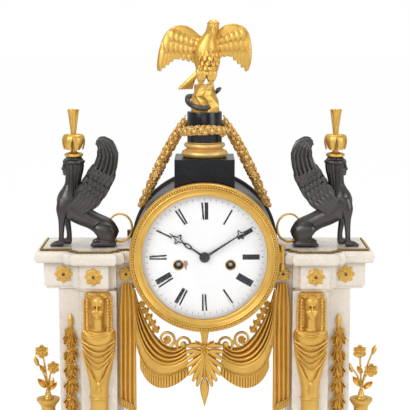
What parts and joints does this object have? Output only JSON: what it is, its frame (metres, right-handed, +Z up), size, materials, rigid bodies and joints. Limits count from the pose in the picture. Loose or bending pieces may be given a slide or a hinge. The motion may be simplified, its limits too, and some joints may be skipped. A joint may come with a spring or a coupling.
{
  "type": "portico clock",
  "caption": "Portico mantel clock: marble pilasters carry a drum clock with hinged bezel, pendulum and geared hands, topped by sphinxes and an eagle.",
  "frame": {"origin": "on the table under the middle of the base", "axes": "+Z up, -Y towards the viewer of the dial, +X to that viewer's right"},
  "size_m": [0.3406, 0.11, 0.4902],
  "materials": {
    "white_marble": "polished",
    "black_marble": "polished",
    "gilt_bronze": "satin",
    "dark_bronze": "patinated satin",
    "brass": "satin",
    "steel": "polished",
    "blued_steel": "satin",
    "enamel": "gloss",
    "bell_metal": "satin",
    "glass": "gloss"
  },
  "bodies": {
    "case": {"base_feet": "gilt_bronze", "base_plinth": "white_marble", "base_top": "white_marble", "base_mounts": "gilt_bronze", "pilaster_left": "white_marble", "pilaster_right": "white_marble", "entablature_left": "white_marble", "entablature_right": "white_marble", "cornice_left": "white_marble", "cornice_right": "white_marble", "bead_strings": "gilt_bronze", "frieze_rosettes": "gilt_bronze", "herm_left": "gilt_bronze", "herm_right": "gilt_bronze", "pilaster_pendants": "gilt_bronze", "vases": "gilt_bronze", "bouquet_left": "gilt_bronze", "bouquet_right": "gilt_bronze", "drapery_left": "gilt_bronze", "drapery_right": "gilt_bronze", "palmette": "gilt_bronze", "drum_case": "dark_bronze", "bezel_seat": "brass", "dial": "enamel", "front_plate": "brass", "back_plate": "brass", "suspension_cock": "brass", "bell": "bell_metal", "bell_nut": "brass", "rear_bezel": "dark_bronze", "pedestal": "black_marble", "column_base": "gilt_bronze", "column": "black_marble", "column_wreath": "gilt_bronze", "garlands": "gilt_bronze", "rock": "gilt_bronze", "snake": "dark_bronze", "eagle": "gilt_bronze", "sphinx_left": "dark_bronze", "sphinx_right": "dark_bronze", "sphinx_ornaments": "gilt_bronze"},
    "front_door": {"front_bezel": "gilt_bronze", "front_glass": "glass"},
    "rear_door": {"rear_door": "brass"},
    "centre_arbor": {"centre_wheel": "brass", "minute_hand": "blued_steel"},
    "hour_pipe": {"hour_wheel": "brass", "hour_hand": "blued_steel"},
    "motion_wheel": {"minute_wheel": "brass"},
    "intermediate_arbor": {"intermediate_wheel": "brass"},
    "going_drum": {"going_barrel": "brass"},
    "third_arbor": {"third_wheel": "brass"},
    "escape_arbor": {"escape_wheel": "brass"},
    "strike_drum": {"strike_barrel": "brass"},
    "going_winder": {"going_arbor": "steel"},
    "strike_winder": {"strike_arbor": "steel"},
    "pendulum": {"pendulum_rod": "steel", "pendulum_bob": "brass"},
    "anchor": {"pallets": "steel"},
    "bell_hammer": {"hammer": "steel"}
  },
  "joints": [
    {"name": "front_door_hinge", "type": "hinge", "parent": "case", "child": "front_door", "pos_m": [0.0735, -0.0411, 0.268], "axis": [0, 0, 1], "range_deg": [0, 100]},
    {"name": "rear_door_hinge", "type": "hinge", "parent": "case", "child": "rear_door", "pos_m": [-0.0755, 0.0462, 0.268], "axis": [0, 0, 1], "range_deg": [0, 100]},
    {"name": "minute_turn", "type": "hinge", "parent": "case", "child": "centre_arbor", "pos_m": [0, 0, 0.268], "axis": [0, 1, 0], "continuous": true},
    {"name": "hour_turn", "type": "hinge", "parent": "case", "child": "hour_pipe", "pos_m": [0, 0, 0.268], "axis": [0, 1, 0], "continuous": true},
    {"name": "motion_wheel_turn", "type": "hinge", "parent": "case", "child": "motion_wheel", "pos_m": [0, 0, 0.256], "axis": [0, 1, 0], "continuous": true},
    {"name": "intermediate_turn", "type": "hinge", "parent": "case", "child": "intermediate_arbor", "pos_m": [0.01259, 0, 0.28118], "axis": [0, 1, 0], "continuous": true},
    {"name": "going_barrel_turn", "type": "hinge", "parent": "case", "child": "going_drum", "pos_m": [0.02459, 0, 0.26039], "axis": [0, 1, 0], "continuous": true},
    {"name": "third_wheel_turn", "type": "hinge", "parent": "case", "child": "third_arbor", "pos_m": [-0.00741, 0, 0.28396], "axis": [0, 1, 0], "continuous": true},
    {"name": "escape_wheel_turn", "type": "hinge", "parent": "case", "child": "escape_arbor", "pos_m": [-0.00001, 0, 0.29653], "axis": [0, 1, 0], "continuous": true},
    {"name": "strike_barrel_turn", "type": "hinge", "parent": "case", "child": "strike_drum", "pos_m": [-0.02459, 0, 0.26039], "axis": [0, 1, 0], "continuous": true},
    {"name": "going_winding", "type": "hinge", "parent": "case", "child": "going_winder", "pos_m": [0.02459, 0, 0.26039], "axis": [0, 1, 0], "range_deg": [0, 1440]},
    {"name": "strike_winding", "type": "hinge", "parent": "case", "child": "strike_winder", "pos_m": [-0.02459, 0, 0.26039], "axis": [0, 1, 0], "range_deg": [0, 1440]},
    {"name": "pendulum_swing", "type": "hinge", "parent": "case", "child": "pendulum", "pos_m": [-0.00001, 0, 0.30803], "axis": [0, 1, 0], "range_deg": [-3.5, 3.5]},
    {"name": "anchor_rock", "type": "hinge", "parent": "case", "child": "anchor", "pos_m": [-0.00001, 0, 0.30803], "axis": [0, 1, 0], "range_deg": [-3.5, 3.5]},
    {"name": "hammer_lift", "type": "hinge", "parent": "case", "child": "bell_hammer", "pos_m": [0.034, 0, 0.244], "axis": [0, 1, 0], "range_deg": [0, 12]}
  ],
  "couplings": [
    {"joint": "hour_turn", "follows": "minute_turn", "ratio": 0.083333},
    {"joint": "motion_wheel_turn", "follows": "minute_turn", "ratio": -0.33333},
    {"joint": "intermediate_turn", "follows": "minute_turn", "ratio": -0.125},
    {"joint": "going_barrel_turn", "follows": "minute_turn", "ratio": 0.017857},
    {"joint": "third_wheel_turn", "follows": "minute_turn", "ratio": -10},
    {"joint": "escape_wheel_turn", "follows": "minute_turn", "ratio": 125},
    {"joint": "anchor_rock", "follows": "pendulum_swing", "ratio": 1}
  ]
}
